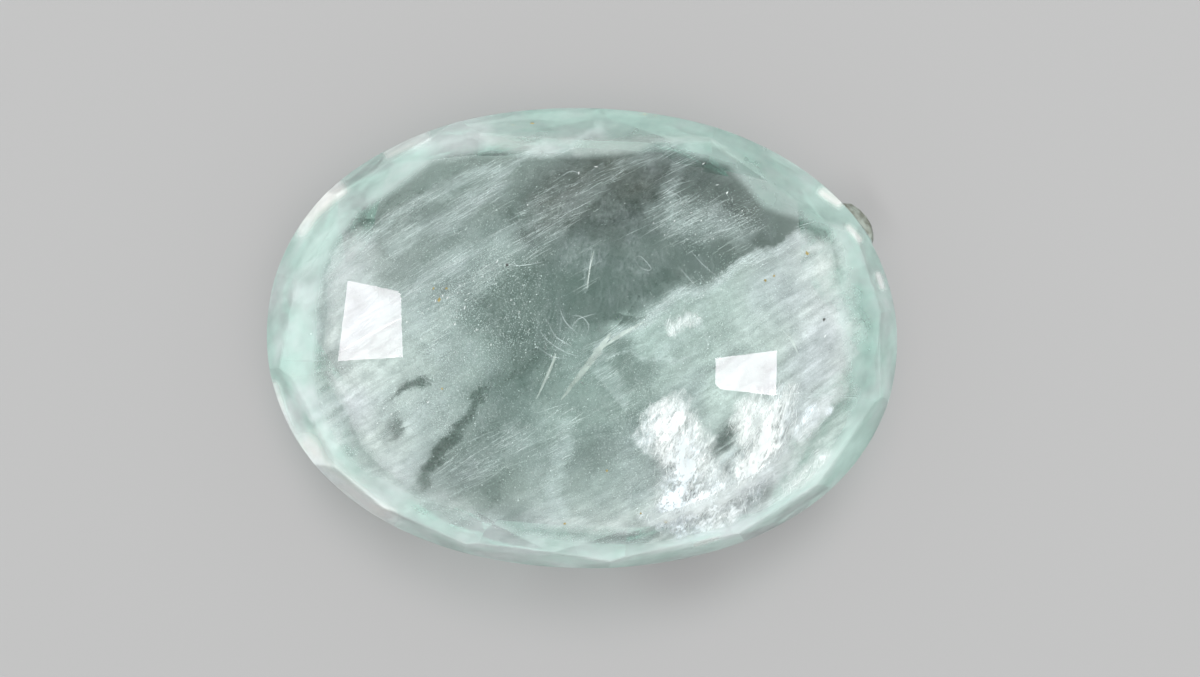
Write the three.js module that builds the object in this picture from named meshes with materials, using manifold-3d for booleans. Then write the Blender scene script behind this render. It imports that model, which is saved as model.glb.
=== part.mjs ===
// Oval faceted emerald, one solid crystal.
// Millimetres, +Z up. The stone lies on its table, so its pointed side (the pavilion) is up.
// X is the long way of the oval, Y the short way. Z = 0 is the table.

import * as THREE from 'three';
import { mergeVertices } from 'three/addons/utils/BufferGeometryUtils.js';
import Module from 'manifold-3d';

const wasm = await Module();
wasm.setup();

// Outline of the girdle: an oval that is a little fuller at its upper left and lower right.
const HALF_LENGTH = 7.0;
const HALF_WIDTH = 5.11;
const OUTLINE_STEPS = 144;
const OUTLINE_SWELL = 0.0105;
const OUTLINE_SKEW = 0.007;

// Heights above the table.
const CROWN_HEIGHT = 1.45;
const GIRDLE_TOP = 1.65;
const CULET_HEIGHT = 5.5;
const ROUGH_HEIGHT = 7.0;

// Crown: a table, eight star facets, eight bezel facets and sixteen break facets.
const CROWN_FOLDS = 8;
const CROWN_TURN = 17.5;
const TABLE_SIZE = 0.66;
const STAR_TIP_SIZE = 0.83;
const CROWN_SHIFT_X = -0.08;
const CROWN_SHIFT_Y = 0.06;
const BEZEL_BITE = 0.009;
const BEZEL_BITE_WANDER = 0.005;

// Two steep rings beside the girdle share fourteen uneven columns, as a hand-cut stone has them.
// towards is the direction they face, in degrees from +X; width is that of the outer ring,
// seen from above. The second ring runs from there up to SECOND_TOP, where SECOND_SIZE is
// the part of the oval that it follows. lift raises a second-ring facet clear of a corner of
// the flash facet beside it.
const SIDE_COLUMNS = [
  { towards: 0, width: 0.42 },
  { towards: 18, width: 0.4 },
  { towards: 55, width: 0.69 },
  { towards: 88, width: 0.74 },
  { towards: 121, width: 0.3 },
  { towards: 152, width: 0.55, lift: 0.125 },
  { towards: 172, width: 0.57, besideFlash: true },
  { towards: 207, width: 0.6 },
  { towards: 230, width: 0.35 },
  { towards: 246, width: 0.34 },
  { towards: 263, width: 0.37 },
  { towards: 282, width: 0.35 },
  { towards: 302, width: 0.38 },
  { towards: 325, width: 0.48 },
];
const SECOND_SIZE = 0.762;
const SECOND_SHIFT_X = 0.09;
const SECOND_SHIFT_Y = -0.09;
const SECOND_TOP = 3.45;
const SECOND_SLOPE_AT_ENDS = 38;
const SECOND_SLOPE_RISE = 7;

// Inner rings of the pavilion, up to the culet. size is the part of the oval that each
// ring's upper edge follows, and shift moves its centre.
const PAVILION_RINGS = [
  { size: 0.587, shiftX: 0.18, shiftY: -0.18, height: 4.2, columns: 16 },
  { size: 0.378, shiftX: 0.24, shiftY: -0.22, height: 4.83, columns: 16 },
  { size: 0.19, shiftX: 0.29, shiftY: -0.27, height: 5.25, columns: 16 },
  { size: 0, shiftX: 0.33, shiftY: -0.31, height: CULET_HEIGHT, columns: 8 },
];
const COLUMN_START = -8;
const WIDEN = 8;
const WIDEN_TOWARDS = 172;

// Two facets that flash in the light, set corner by corner: outer, inner, inner, outer.
// hinges are the angles to the four facets around it, over the edges in the same order.
const FLASH_FACETS = [
  {
    corners: [[-5.16, 1.27], [-3.98, 1.02], [-3.93, -0.42], [-5.38, -0.51]],
    towards: 176,
    slope: 30,
    height: 3.81,
    hinges: [19, 8.5, 12.5, 9.5],
  },
  {
    corners: [[4.29, -0.27], [2.93, -0.44], [2.93, -1.11], [4.27, -1.27]],
    towards: -5,
    slope: 24,
    height: 4.46,
    hinges: [5, 5.5, 14, 9],
  },
];
// Places in the inner rings, as ring then column, that those two facets and their
// neighbours fill.
const FLASH_PLACES = ['0/8', '0/7', '0/9', '1/8', '1/0', '1/1', '1/15', '0/0', '2/0'];
// One facet of the inner rings is raised to leave a corner of the first of them whole.
const RAISED_PLACE = '1/7';
const RAISED_BY = 0.035;

// Unevenness of the hand-cut facets.
const TURN_WANDER = 1.6;
const SLOPE_WANDER = 0.7;
const DEPTH_WANDER = 0.012;

// A patch of unpolished rough crystal that stands out of the girdle.
const ROUGH_PATCH_ANGLE = 29.5;
const ROUGH_PATCH_LENGTH = 0.62;
const ROUGH_PATCH_DEPTH = 0.32;
const ROUGH_PATCH_HEIGHT = 0.36;
const ROUGH_PATCH_PLACE = 0.985;
const ROUGH_PATCH_Z = 1.52;
const ROUGH_PATCH_KNOBS = 0.07;

// Size of the flat lap that grinds each facet.
const LAP_WIDTH = 40;
const LAP_DEPTH = 16;

const UP = new THREE.Vector3(0, 0, 1);

function radians(degrees) {
  return (degrees * Math.PI) / 180;
}

// A steady number between -1 and 1 for each facet, so the stone is the same every time.
function wander(ring, column, kind) {
  const wave = Math.sin(ring * 12.9898 + column * 78.233 + kind * 37.719) * 43758.5453;
  return 2 * (wave - Math.floor(wave)) - 1;
}

// A point of the oval at an angle along it, made smaller by size.
function outlinePoint(angle, size) {
  const t = radians(angle);
  const swell = 1 + OUTLINE_SWELL - OUTLINE_SWELL * Math.cos(4 * t) - OUTLINE_SKEW * Math.sin(2 * t);
  const x = HALF_LENGTH * swell * size * Math.cos(t);
  const y = HALF_WIDTH * swell * size * Math.sin(t);
  return new THREE.Vector2(x, y);
}

const outline = [];
for (let step = 0; step < OUTLINE_STEPS; step += 1) {
  outline.push(outlinePoint((360 * step) / OUTLINE_STEPS, 1));
}

// How far the oval reaches in a level direction.
function reach(direction) {
  let farthest = 0;
  for (const point of outline) {
    farthest = Math.max(farthest, point.dot(direction));
  }
  return farthest;
}

// The level direction that the oval's side faces at an angle along it.
function facing(angle) {
  const t = radians(angle);
  return new THREE.Vector2(Math.cos(t) / HALF_LENGTH, Math.sin(t) / HALF_WIDTH).normalize();
}

function solidFrom(geometry) {
  const bare = geometry.clone();
  bare.deleteAttribute('normal');
  bare.deleteAttribute('uv');
  const merged = mergeVertices(bare, 1e-6);
  const mesh = new wasm.Mesh({
    numProp: 3,
    vertProperties: new Float32Array(merged.attributes.position.array),
    triVerts: new Uint32Array(merged.index.array),
  });
  return new wasm.Manifold(mesh);
}

// Grinds one flat facet: all crystal beyond the plane through point, facing normal, is taken off.
function grind(solid, point, normal) {
  const lap = new THREE.BoxGeometry(LAP_WIDTH, LAP_WIDTH, LAP_DEPTH);
  const turn = new THREE.Quaternion().setFromUnitVectors(UP, normal);
  const centre = point.clone().addScaledVector(normal, LAP_DEPTH / 2);
  lap.applyMatrix4(new THREE.Matrix4().compose(centre, turn, new THREE.Vector3(1, 1, 1)));
  return solid.subtract(solidFrom(lap));
}

// How far out a ring's upper edge lies in a level direction.
function ringReach(ring, direction) {
  return ring.size * reach(direction) + ring.shiftX * direction.x + ring.shiftY * direction.y;
}

// A plane that faces a level direction and rises inwards at a slope, through a point at a
// distance out and a height, then turned a little about that point.
function facetPlane(direction, distance, height, slope, turn) {
  const level = Math.atan2(direction.y, direction.x) + turn;
  const normal = new THREE.Vector3(
    Math.sin(slope) * Math.cos(level),
    Math.sin(slope) * Math.sin(level),
    Math.cos(slope),
  );
  const point = new THREE.Vector3(direction.x * distance, direction.y * distance, height);
  return { point, normal };
}

function roughBlock() {
  const shape = new THREE.Shape(outline);
  return solidFrom(new THREE.ExtrudeGeometry(shape, { depth: ROUGH_HEIGHT, bevelEnabled: false }));
}

const secondRing = {
  size: SECOND_SIZE,
  shiftX: SECOND_SHIFT_X,
  shiftY: SECOND_SHIFT_Y,
  height: SECOND_TOP,
};

// The outer ring starts on the girdle and meets the second ring at its stated width.
function cutSideColumns(block) {
  let solid = block;
  for (const column of SIDE_COLUMNS) {
    const angle = radians(column.towards);
    const direction = new THREE.Vector2(Math.cos(angle), Math.sin(angle));
    const rim = reach(direction);
    const inner = ringReach(secondRing, direction);
    const rise = SECOND_SLOPE_RISE * direction.y * direction.y;
    const secondSlope = radians(SECOND_SLOPE_AT_ENDS + rise);
    const meeting = SECOND_TOP - (rim - column.width - inner) * Math.tan(secondSlope);
    const outerSlope = Math.atan2(meeting - GIRDLE_TOP, column.width);
    const outer = facetPlane(direction, rim, GIRDLE_TOP, outerSlope, 0);
    solid = grind(solid, outer.point, outer.normal);
    if (!column.besideFlash) {
      const top = SECOND_TOP + (column.lift ?? 0);
      const second = facetPlane(direction, inner, top, secondSlope, 0);
      solid = grind(solid, second.point, second.normal);
    }
  }
  return solid;
}

// Each facet of the inner rings runs from the ring below it to its own upper edge.
function cutPavilionRings(block) {
  let solid = block;
  PAVILION_RINGS.forEach((ring, number) => {
    const below = number > 0 ? PAVILION_RINGS[number - 1] : secondRing;
    for (let column = 0; column < ring.columns; column += 1) {
      const place = `${number}/${column}`;
      if (FLASH_PLACES.includes(place)) {
        continue;
      }
      const raised = place === RAISED_PLACE ? RAISED_BY : 0;
      const even = (360 * column) / ring.columns + COLUMN_START;
      const stretched = even + WIDEN * Math.sin(radians(even - WIDEN_TOWARDS));
      const direction = facing(stretched);
      const inner = ringReach(ring, direction);
      const outer = ringReach(below, direction);
      const leaning = radians(SLOPE_WANDER * wander(number, column, 1));
      const slope = Math.atan2(ring.height - below.height, outer - inner) + leaning;
      const turn = radians(TURN_WANDER * wander(number, column, 2));
      const height = ring.height + raised + DEPTH_WANDER * wander(number, column, 3);
      const plane = facetPlane(direction, inner, height, slope, turn);
      solid = grind(solid, plane.point, plane.normal);
    }
  });
  return solid;
}

// Grinds a flash facet, then the four facets that hinge on its edges and fall away from it.
function cutFlashFacet(block, facet) {
  const angle = radians(facet.towards);
  const slope = radians(facet.slope);
  const normal = new THREE.Vector3(
    Math.sin(slope) * Math.cos(angle),
    Math.sin(slope) * Math.sin(angle),
    Math.cos(slope),
  );
  const middle = new THREE.Vector3(0, 0, facet.height);
  for (const [x, y] of facet.corners) {
    middle.x += x / facet.corners.length;
    middle.y += y / facet.corners.length;
  }
  const corners = facet.corners.map(([x, y]) => {
    const drop = (normal.x * (x - middle.x) + normal.y * (y - middle.y)) / normal.z;
    return new THREE.Vector3(x, y, middle.z - drop);
  });
  let solid = grind(block, middle, normal);
  facet.hinges.forEach((degrees, edge) => {
    const from = corners[edge];
    const to = corners[(edge + 1) % corners.length];
    const axis = to.clone().sub(from).normalize();
    const beside = normal.clone().applyAxisAngle(axis, radians(degrees));
    if (beside.dot(middle.clone().sub(from)) > 0) {
      beside.copy(normal).applyAxisAngle(axis, -radians(degrees));
    }
    solid = grind(solid, from, beside);
  });
  return solid;
}

function cutPavilion(block) {
  let solid = cutPavilionRings(cutSideColumns(block));
  for (const facet of FLASH_FACETS) {
    solid = cutFlashFacet(solid, facet);
  }
  return solid;
}

// A point of the crown, on the oval at an angle along it, made smaller by size.
function crownPoint(angle, size, height) {
  const point = outlinePoint(angle, size);
  const shift = 1 - size;
  return new THREE.Vector3(
    point.x + (CROWN_SHIFT_X * shift) / (1 - TABLE_SIZE),
    point.y + (CROWN_SHIFT_Y * shift) / (1 - TABLE_SIZE),
    height,
  );
}

// Grinds the facet through three points, facing down and away from the middle of the stone.
function grindThrough(solid, a, b, c) {
  const normal = new THREE.Plane().setFromCoplanarPoints(a, b, c).normal;
  if (normal.z > 0) {
    normal.negate();
  }
  return grind(solid, a, normal);
}

function cutCrown(block) {
  let solid = block;
  const step = 360 / CROWN_FOLDS;
  for (let fold = 0; fold < CROWN_FOLDS; fold += 1) {
    const angle = CROWN_TURN + fold * step;
    const before = angle - step / 2;
    const after = angle + step / 2;
    // The bezel facet runs from the girdle to a corner of the table.
    const corner = crownPoint(angle, TABLE_SIZE, 0);
    const nextCorner = crownPoint(angle + step, TABLE_SIZE, 0);
    const rim = crownPoint(angle, 1, CROWN_HEIGHT);
    const bite = BEZEL_BITE + BEZEL_BITE_WANDER * wander(fold, 0, 4);
    const bitten = crownPoint(angle, TABLE_SIZE - bite, 0);
    const along = outlinePoint(angle + 1, 1).sub(outlinePoint(angle - 1, 1));
    const beside = rim.clone().add(new THREE.Vector3(along.x, along.y, 0));
    solid = grindThrough(solid, bitten, rim, beside);
    // Neighbouring bezels meet at a tip, where a star facet and two break facets also end.
    const tipRun = STAR_TIP_SIZE * Math.cos(radians(step / 2)) - TABLE_SIZE;
    const tipHeight = (CROWN_HEIGHT * tipRun) / (1 - TABLE_SIZE);
    const tip = crownPoint(after, STAR_TIP_SIZE, tipHeight);
    solid = grindThrough(solid, corner, nextCorner, tip);
    const tipBefore = crownPoint(before, STAR_TIP_SIZE, tipHeight);
    const rimBefore = crownPoint(before, 1, CROWN_HEIGHT);
    const rimAfter = crownPoint(after, 1, CROWN_HEIGHT);
    solid = grindThrough(solid, tip, rim, rimAfter);
    solid = grindThrough(solid, tipBefore, rim, rimBefore);
  }
  return solid;
}

// A low knobbly lump, left where the cutter did not reach the skin of the crystal.
function roughPatch() {
  const lump = new THREE.IcosahedronGeometry(1, 2);
  const points = lump.attributes.position;
  const place = new THREE.Vector3();
  for (let index = 0; index < points.count; index += 1) {
    place.fromBufferAttribute(points, index);
    const ridges = Math.sin(5.1 * place.x + 1.3) * Math.sin(4.3 * place.z);
    const lobes = Math.cos(3.7 * place.y + 4 * place.z);
    place.multiplyScalar(1 + ROUGH_PATCH_KNOBS * (ridges + lobes));
    points.setXYZ(index, place.x, place.y, place.z);
  }
  const centre = outlinePoint(ROUGH_PATCH_ANGLE, ROUGH_PATCH_PLACE);
  const direction = facing(ROUGH_PATCH_ANGLE);
  lump.scale(ROUGH_PATCH_DEPTH, ROUGH_PATCH_LENGTH, ROUGH_PATCH_HEIGHT);
  lump.rotateZ(Math.atan2(direction.y, direction.x));
  lump.translate(centre.x, centre.y, ROUGH_PATCH_Z);
  return solidFrom(lump);
}

// Turns a solid back into geometry with flat shading, one normal for each facet.
function geometryFrom(solid) {
  const mesh = solid.getMesh();
  const geometry = new THREE.BufferGeometry();
  const stride = mesh.numProp;
  const positions = new Float32Array((mesh.vertProperties.length / stride) * 3);
  for (let index = 0; index < positions.length / 3; index += 1) {
    positions[index * 3] = mesh.vertProperties[index * stride];
    positions[index * 3 + 1] = mesh.vertProperties[index * stride + 1];
    positions[index * 3 + 2] = mesh.vertProperties[index * stride + 2];
  }
  geometry.setAttribute('position', new THREE.BufferAttribute(positions, 3));
  geometry.setIndex(new THREE.BufferAttribute(new Uint32Array(mesh.triVerts), 1));
  const flat = geometry.toNonIndexed();
  flat.computeVertexNormals();
  return flat;
}

const stone = cutCrown(cutPavilion(roughBlock())).add(roughPatch());

const emerald = new THREE.Mesh(
  geometryFrom(stone),
  new THREE.MeshStandardMaterial({ color: 0x9cc8b8, roughness: 0.05, metalness: 0 }),
);
emerald.name = 'emerald_crystal';

const part = new THREE.Group();
part.name = 'emerald';
part.add(emerald);

export default part;
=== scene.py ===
import math

import bpy
import numpy as np
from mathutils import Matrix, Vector


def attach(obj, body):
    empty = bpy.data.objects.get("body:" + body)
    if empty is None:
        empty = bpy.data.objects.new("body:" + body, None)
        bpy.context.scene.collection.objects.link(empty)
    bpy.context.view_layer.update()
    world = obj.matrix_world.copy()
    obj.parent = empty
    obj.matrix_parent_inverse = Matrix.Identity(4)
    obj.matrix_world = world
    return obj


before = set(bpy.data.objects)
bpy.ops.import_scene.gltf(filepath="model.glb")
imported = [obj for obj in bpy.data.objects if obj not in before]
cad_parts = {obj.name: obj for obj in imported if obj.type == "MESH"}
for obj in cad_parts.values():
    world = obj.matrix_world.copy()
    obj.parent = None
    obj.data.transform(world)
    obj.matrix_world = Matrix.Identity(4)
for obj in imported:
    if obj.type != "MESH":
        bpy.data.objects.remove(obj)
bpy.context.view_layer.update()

MM = 0.001
# The step, in millimetres, of the grid that the stone's top and underside are measured on.
GRID_STEP = 0.04

# The photo's frame, and the stone's place and scale in it.
PHOTO_WIDTH = 1200
PHOTO_HEIGHT = 677
STONE_X = 582
STONE_Y = 338
PIXELS_PER_MM = 45

# The crystal: refraction, and absorption per metre by colour.
REFRACTION = 1.577
ABSORPTION_COLOUR = (0.06, 0.5, 0.36, 1)
ABSORPTION_DENSITY = 90
LAMP_TINT = (0.97, 0.98, 0.98, 1)

# Rays that measure the stone start this far above and below it, in metres.
RAY_START = 0.02

# Camera and floor, in millimetres but for the floor's reach in metres. The photo's scale holds at
# the girdle's height. The floor lies a little under the stone.
LENS = 300
SENSOR = 36
GIRDLE_HEIGHT = 1.65
FLOOR_REACH = 1.2
FLOOR_DROP = 0.03
FLOOR_GREY = 0.355

# The lamps that the two flashing facets mirror: colour, and how far away they hang in metres.
FLASH_COLOUR = (1, 0.86, 0.94)
FLASH_DISTANCE = 0.15

# The stone's smooth shape: how high the pavilion stands in millimetres and how steep it is in
# degrees, from its middle (0) to the girdle (1). Flaws are placed under it.
HALF_LENGTH = 7.0
HALF_WIDTH = 5.11
SHAPE_AT = (0, 0.19, 0.378, 0.587, 0.762, 0.93, 1)
SHAPE_HEIGHT = (5.5, 5.25, 4.83, 4.2, 3.45, 2.6, 1.65)
SLOPE_AT = (0, 0.1, 0.28, 0.48, 0.67, 0.85, 0.96)
SLOPE = (0, 12, 20, 24, 31, 40, 58)

# Growth runs up to the right in the photo, in degrees from +X.
GROWTH_ANGLE = 31

# The rough lump on the girdle: its centre and reach in metres, and where it leaves the oval.
ROUGH_PATCH_CENTRE = (6.06 * MM, 2.5 * MM, 1.52 * MM)
ROUGH_PATCH_REACH = 0.8 * MM
ROUGH_PATCH_STARTS = 1.013

scene = bpy.context.scene
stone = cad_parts["emerald_crystal"]


def material(name):
    made = bpy.data.materials.new(name)
    made.use_nodes = True
    made.node_tree.nodes.clear()
    return made


def node(tree, kind, **values):
    made = tree.nodes.new(kind)
    for key, value in values.items():
        setattr(made, key, value)
    return made


def socket(made, name, value):
    made.inputs[name].default_value = value


def combine(tree, operation, first, second):
    """The result of a Math node on two values, each a number or another node's output."""
    made = node(tree, "ShaderNodeMath", operation=operation)
    for place, value in enumerate((first, second)):
        if isinstance(value, bpy.types.NodeSocket):
            tree.links.new(value, made.inputs[place])
        else:
            socket(made, place, value)
    return made.outputs[0]


def blend(tree, source, start, first, end, last):
    """A ramp from a first colour to a last one as the source goes from start to end."""
    ramp = node(tree, "ShaderNodeValToRGB")
    low, high = ramp.color_ramp.elements
    low.position = start
    low.color = first
    high.position = end
    high.color = last
    tree.links.new(source, ramp.inputs[0])
    return ramp


# Camera, floor and light.

def make_camera():
    frame_width = PHOTO_WIDTH / PIXELS_PER_MM * MM
    data = bpy.data.cameras.new("camera")
    data.lens = LENS
    data.sensor_width = SENSOR
    camera = bpy.data.objects.new("camera", data)
    scene.collection.objects.link(camera)
    x = (PHOTO_WIDTH / 2 - STONE_X) / PIXELS_PER_MM * MM
    y = (STONE_Y - PHOTO_HEIGHT / 2) / PIXELS_PER_MM * MM
    camera.location = (x, y, GIRDLE_HEIGHT * MM + LENS / SENSOR * frame_width)
    data.clip_start = 0.001
    data.clip_end = 5
    scene.camera = camera


def make_floor():
    reach = FLOOR_REACH
    z = -FLOOR_DROP * MM
    corners = [(-reach, -reach, z), (reach, -reach, z), (reach, reach, z), (-reach, reach, z)]
    mesh = bpy.data.meshes.new("floor")
    mesh.from_pydata(corners, [], [(0, 1, 2, 3)])
    floor = bpy.data.objects.new("floor", mesh)
    scene.collection.objects.link(floor)
    paint = material("floor_paint")
    tree = paint.node_tree
    out = node(tree, "ShaderNodeOutputMaterial")
    shader = node(tree, "ShaderNodeBsdfPrincipled")
    socket(shader, "Base Color", (FLOOR_GREY, FLOOR_GREY, FLOOR_GREY, 1))
    socket(shader, "Roughness", 0.95)
    socket(shader, "Specular IOR Level", 0)
    tree.links.new(shader.outputs[0], out.inputs["Surface"])
    mesh.materials.append(paint)


def direction(azimuth, from_vertical, distance):
    """The place at a distance in metres, with both angles in degrees."""
    a = math.radians(azimuth)
    v = math.radians(from_vertical)
    return Vector((math.sin(v) * math.cos(a), math.sin(v) * math.sin(a), math.cos(v))) * distance


def area_light(name, place, target, size, radiance, **seen):
    """A lamp that faces its target; seen says which kinds of ray see it."""
    data = bpy.data.lights.new(name, "AREA")
    data.shape = "RECTANGLE"
    data.size, data.size_y = size
    data.energy = radiance * math.pi * size[0] * size[1]
    lamp = bpy.data.objects.new(name, data)
    scene.collection.objects.link(lamp)
    lamp.location = place
    aim = Vector(target) - Vector(place)
    lamp.rotation_euler = aim.to_track_quat("-Z", "Y").to_euler()
    for key, value in seen.items():
        setattr(lamp, key, value)
    return lamp


def make_world():
    """Soft light from all round, brightest at the horizon."""
    world = bpy.data.worlds.new("studio")
    scene.world = world
    world.use_nodes = True
    tree = world.node_tree
    tree.nodes.clear()
    out = node(tree, "ShaderNodeOutputWorld")
    back = node(tree, "ShaderNodeBackground")
    place = node(tree, "ShaderNodeTexCoord")
    split = node(tree, "ShaderNodeSeparateXYZ")
    tree.links.new(place.outputs["Generated"], split.inputs[0])
    ramp = blend(tree, split.outputs["Z"], 0, (0.92, 0.94, 0.93, 1), 0.75, (0.25, 0.25, 0.25, 1))
    middle = ramp.color_ramp.elements.new(0.4)
    middle.color = (0.8, 0.8, 0.8, 1)
    tree.links.new(ramp.outputs[0], back.inputs["Color"])
    socket(back, "Strength", 0.8)
    tree.links.new(back.outputs[0], out.inputs[0])


def make_lamps():
    key = area_light("key", direction(88, 32, 0.3), (0, 0, 0), (0.1, 0.1), 14)
    fill = area_light("fill", direction(-60, 8, 0.35), (0, 0, 0), (0.3, 0.3), 4.4)
    for lamp in (key, fill):
        lamp.data.cycles.use_multiple_importance_sampling = False
    mirrored_only = {"visible_diffuse": False, "visible_transmission": False}
    left = area_light("flash_left", direction(176, 60, FLASH_DISTANCE), (-0.0045, 0, 0.0038),
                      (0.06, 0.06), 7.5, **mirrored_only)
    right = area_light("flash_right", direction(-5, 48, FLASH_DISTANCE), (0.0036, -0.0008, 0.0045),
                       (0.02, 0.03), 8.9, **mirrored_only)
    for lamp in (left, right):
        lamp.data.color = FLASH_COLOUR


# The crystal.

def rough_patch_mask(tree, place):
    """1 on the rough lump that stands out of the girdle, 0 on the polished stone."""
    near = node(tree, "ShaderNodeVectorMath", operation="DISTANCE")
    socket(near, 1, ROUGH_PATCH_CENTRE)
    tree.links.new(place.outputs["Object"], near.inputs[0])
    close = combine(tree, "LESS_THAN", near.outputs["Value"], ROUGH_PATCH_REACH)
    oval = node(tree, "ShaderNodeVectorMath", operation="MULTIPLY")
    socket(oval, 1, (1 / (HALF_LENGTH * MM), 1 / (HALF_WIDTH * MM), 0))
    tree.links.new(place.outputs["Object"], oval.inputs[0])
    radius = node(tree, "ShaderNodeVectorMath", operation="LENGTH")
    tree.links.new(oval.outputs[0], radius.inputs[0])
    outside = combine(tree, "GREATER_THAN", radius.outputs["Value"], ROUGH_PATCH_STARTS)
    return combine(tree, "MULTIPLY", close, outside)


def rough_skin(tree, place):
    """Unpolished, brown-grey crystal skin."""
    skin = node(tree, "ShaderNodeBsdfPrincipled")
    socket(skin, "Roughness", 0.62)
    noise = node(tree, "ShaderNodeTexNoise")
    socket(noise, "Scale", 5200)
    socket(noise, "Detail", 6)
    ramp = blend(tree, noise.outputs[0], 0.38, (0.15, 0.16, 0.13, 1), 0.62, (0.29, 0.33, 0.29, 1))
    bump = node(tree, "ShaderNodeBump")
    socket(bump, "Strength", 0.6)
    socket(bump, "Distance", 0.04 * MM)
    tree.links.new(place.outputs["Object"], noise.inputs["Vector"])
    tree.links.new(noise.outputs[0], bump.inputs["Height"])
    tree.links.new(ramp.outputs[0], skin.inputs["Base Color"])
    tree.links.new(bump.outputs[0], skin.inputs["Normal"])
    return skin


def make_crystal():
    crystal = material("emerald_crystal_body")
    tree = crystal.node_tree
    out = node(tree, "ShaderNodeOutputMaterial")
    place = node(tree, "ShaderNodeTexCoord")
    shader = node(tree, "ShaderNodeBsdfPrincipled")
    socket(shader, "Base Color", (1, 1, 1, 1))
    socket(shader, "Roughness", 0.01)
    socket(shader, "IOR", REFRACTION)
    socket(shader, "Transmission Weight", 1)
    clear = node(tree, "ShaderNodeBsdfTransparent")
    socket(clear, "Color", LAMP_TINT)
    path = node(tree, "ShaderNodeLightPath")
    mix = node(tree, "ShaderNodeMixShader")
    tree.links.new(path.outputs["Is Shadow Ray"], mix.inputs[0])
    tree.links.new(shader.outputs[0], mix.inputs[1])
    tree.links.new(clear.outputs[0], mix.inputs[2])
    patch = node(tree, "ShaderNodeMixShader")
    tree.links.new(rough_patch_mask(tree, place), patch.inputs[0])
    tree.links.new(mix.outputs[0], patch.inputs[1])
    tree.links.new(rough_skin(tree, place).outputs[0], patch.inputs[2])
    tree.links.new(patch.outputs[0], out.inputs["Surface"])
    body = node(tree, "ShaderNodeVolumeAbsorption")
    socket(body, "Color", ABSORPTION_COLOUR)
    socket(body, "Density", ABSORPTION_DENSITY)
    tree.links.new(body.outputs[0], out.inputs["Volume"])
    stone.material_slots[0].material = crystal


# Where a point of the photo lies inside the stone.

def oval_radius(x, y):
    return np.sqrt((x / HALF_LENGTH) ** 2 + (y / HALF_WIDTH) ** 2)


def surface_height(x, y):
    return np.interp(oval_radius(x, y), SHAPE_AT, SHAPE_HEIGHT)


def span_at(x, y):
    """Heights of the stone's underside and top at one point, or None beside the stone."""
    hit, high, _, _ = stone.ray_cast((x * MM, y * MM, RAY_START), (0, 0, -1))
    if not hit:
        return None
    low = stone.ray_cast((x * MM, y * MM, -RAY_START), (0, 0, 1))[1]
    return low[2] / MM, high[2] / MM


def measure_stone():
    """Heights of the stone's top and underside, in millimetres, on a fine grid."""
    xs = np.arange(-HALF_LENGTH - 0.2, HALF_LENGTH + 0.2, GRID_STEP)
    ys = np.arange(-HALF_WIDTH - 0.2, HALF_WIDTH + 0.2, GRID_STEP)
    top = np.full((len(ys), len(xs)), -1.0)
    low = np.full((len(ys), len(xs)), 9.0)
    for j, y in enumerate(ys):
        for i, x in enumerate(xs):
            span = span_at(x, y)
            if span:
                low[j, i], top[j, i] = span
    return xs, ys, lowest_near(top), -lowest_near(-low)


def lowest_near(heights):
    """The least of each grid point and its eight neighbours."""
    rows, columns = heights.shape
    padded = np.pad(heights, 1, mode="edge")
    shifted = [padded[j:j + rows, i:i + columns] for j in range(3) for i in range(3)]
    return np.min(shifted, axis=0)


def from_grid(heights, x, y):
    xs, ys = measured[:2]
    column = np.clip((x - xs[0]) / GRID_STEP, 0, len(xs) - 1.001)
    row = np.clip((y - ys[0]) / GRID_STEP, 0, len(ys) - 1.001)
    i, j = column.astype(int), row.astype(int)
    across, up = column - i, row - j
    near = heights[j, i] * (1 - across) + heights[j, i + 1] * across
    far = heights[j + 1, i] * (1 - across) + heights[j + 1, i + 1] * across
    return near * (1 - up) + far * up


def clearance(x, y, z):
    """How far below the real facets above it, and above those under it, a point lies."""
    top, low = measured[2:]
    return np.minimum(from_grid(top, x, y) - z, z - from_grid(low, x, y))


def bend(x, y):
    """How far the view through the pavilion shifts inwards, per millimetre of depth."""
    slope = np.radians(np.interp(oval_radius(x, y), SLOPE_AT, SLOPE))
    tilt = slope - np.arcsin(np.sin(slope) / REFRACTION)
    level_x = x / HALF_LENGTH ** 2
    level_y = y / HALF_WIDTH ** 2
    size = np.hypot(level_x, level_y) + 1e-9
    return -np.tan(tilt) * level_x / size, -np.tan(tilt) * level_y / size


def photo_to_stone(px, py):
    return (px - STONE_X) / PIXELS_PER_MM, (STONE_Y - py) / PIXELS_PER_MM


def sink(px, py, depth):
    """The point at a depth under the pavilion that the camera sees at a pixel of the photo."""
    x, y = photo_to_stone(px, py)
    shift_x, shift_y = bend(x, y)
    return np.stack((x + shift_x * depth, y + shift_y * depth, surface_height(x, y) - depth), axis=-1)


def seen_at(x, y, z):
    """The pixel of the photo where the camera sees a point of the stone."""
    top_x, top_y = x.copy(), y.copy()
    for _ in range(4):
        depth = surface_height(top_x, top_y) - z
        shift_x, shift_y = bend(top_x, top_y)
        top_x, top_y = x - shift_x * depth, y - shift_y * depth
    return STONE_X + top_x * PIXELS_PER_MM, STONE_Y - top_y * PIXELS_PER_MM


# Flaws: the least room to the facets in millimetres for sheets and flakes, the least cover that
# is kept, and how near the outline (1) sheets fade and flakes end. Then the rim sheets' grid:
# steps round and inwards, and where it starts and how wide it is in millimetres.
LEAST_ROOM = 0.01
LEAST_COVER = 0.02
EDGE_FADE = 0.06
FLAKE_ROOM = 0.05
SCATTER_REACH = 0.94
RIM_TURNS = 900
RIM_INSETS = 40
RIM_WIDTH = 1.9
RIM_START = 0.015

# Soft shapes in pixels of the photo, from 0 to 1, that say how thick the flaws, the painted shade and the
# painted light are.

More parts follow.
